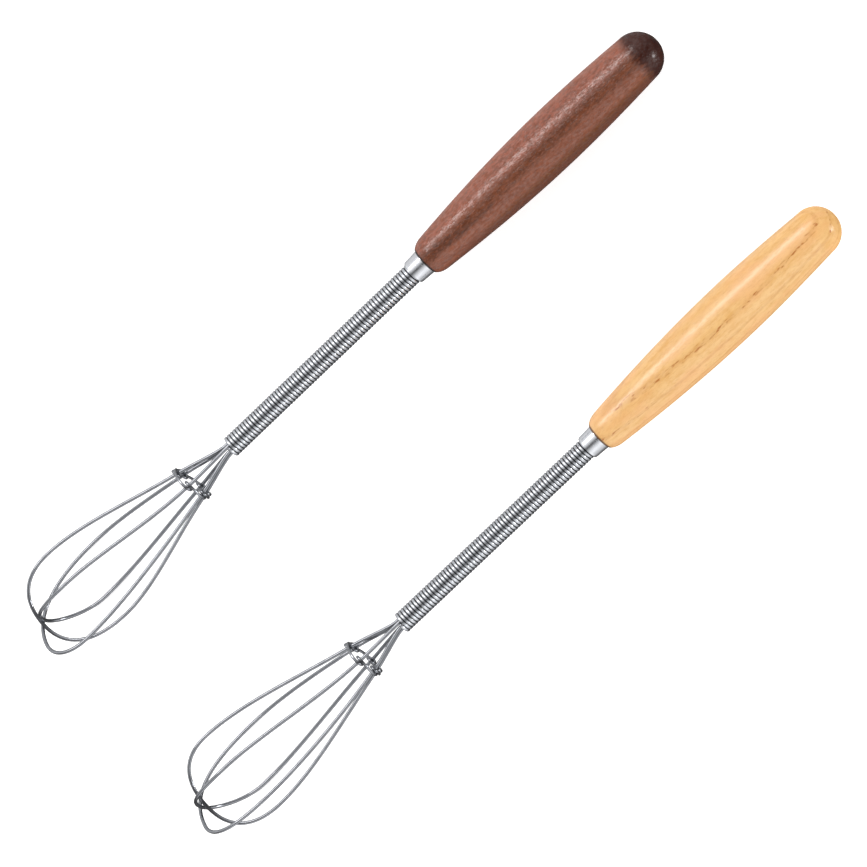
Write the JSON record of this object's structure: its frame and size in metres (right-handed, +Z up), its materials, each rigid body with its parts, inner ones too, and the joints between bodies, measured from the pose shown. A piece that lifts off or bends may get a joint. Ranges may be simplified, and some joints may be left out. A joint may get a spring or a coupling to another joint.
{
  "type": "pair of wire whisks",
  "caption": "Small kitchen whisks side by side: domed wooden handle, metal ferrule, close-wound coil neck and a balloon of looped wire held by a spacer ring.",
  "frame": {"origin": "bottom centre of the bounding box, at z = 0 on the surface that both whisks lie on", "axes": "+X along the whisks towards the handle butts, +Y from the light whisk towards the dark one, +Z up"},
  "size_m": [0.2494, 0.0976, 0.0267],
  "materials": {
    "walnut": "reddish dark walnut, semi-gloss varnish",
    "beech": "warm light beech, glossy varnish",
    "polished_steel": "bright polished stainless collar",
    "spring_steel": "bright close-wound spring wire",
    "wire_steel": "bright drawn stainless wire"
  },
  "bodies": {
    "dark_whisk": {"dark_handle": "walnut", "dark_ferrule": "polished_steel", "dark_coil_sleeve": "spring_steel", "dark_core_wire": "wire_steel", "dark_spacer_ring": "wire_steel", "dark_loop_wire_a": "wire_steel", "dark_loop_wire_b": "wire_steel", "dark_loop_wire_c": "wire_steel"},
    "light_whisk": {"light_handle": "beech", "light_ferrule": "polished_steel", "light_coil_sleeve": "spring_steel", "light_core_wire": "wire_steel", "light_spacer_ring": "wire_steel", "light_loop_wire_a": "wire_steel", "light_loop_wire_b": "wire_steel", "light_loop_wire_c": "wire_steel"}
  },
  "joints": [
    {"name": "light_whisk_lift", "type": "slide", "parent": "dark_whisk", "child": "light_whisk", "axis": [0, 0, 1], "range_m": [0, 0.2]}
  ]
}
